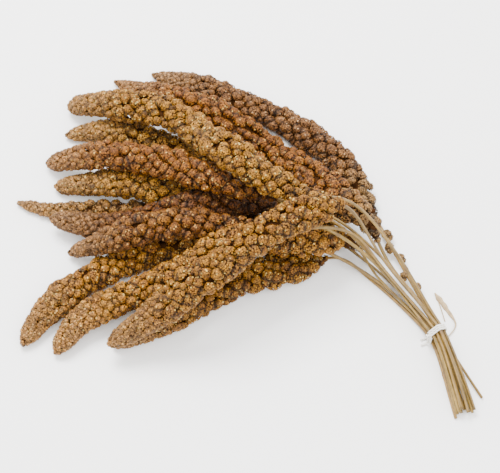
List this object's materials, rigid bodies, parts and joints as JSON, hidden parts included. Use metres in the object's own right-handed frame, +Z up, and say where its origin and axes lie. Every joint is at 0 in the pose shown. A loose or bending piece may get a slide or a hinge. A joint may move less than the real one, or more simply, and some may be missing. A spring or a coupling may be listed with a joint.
{
  "type": "tied bunch of spray millet seed heads",
  "caption": "Tied bunch of dried red spray millet lying down: long curved heads of clustered seeds fan out from bare straw stems bound with white thread.",
  "frame": {"origin": "middle of the bunch's outline, on the surface that it lies on", "axes": "+X from the seed heads' tips towards the cut stems' side, +Y away from the cut ends towards the uppermost head of the fan, +Z up from the surface"},
  "size_m": [0.3624, 0.3156, 0.0823],
  "materials": {
    "seed_head": "satin",
    "thread": "matte",
    "dry_leaf": "matte"
  },
  "bodies": {
    "root": {"millet_head_01": "seed_head", "millet_head_02": "seed_head", "millet_head_03": "seed_head", "millet_head_04": "seed_head", "millet_head_05": "seed_head", "millet_head_06": "seed_head", "millet_head_07": "seed_head", "millet_head_08": "seed_head", "millet_head_09": "seed_head", "millet_head_10": "seed_head", "millet_head_11": "seed_head", "millet_head_12": "seed_head", "millet_head_13": "seed_head", "tie_thread": "thread", "dry_leaf_shred": "dry_leaf"}
  },
  "joints": []
}
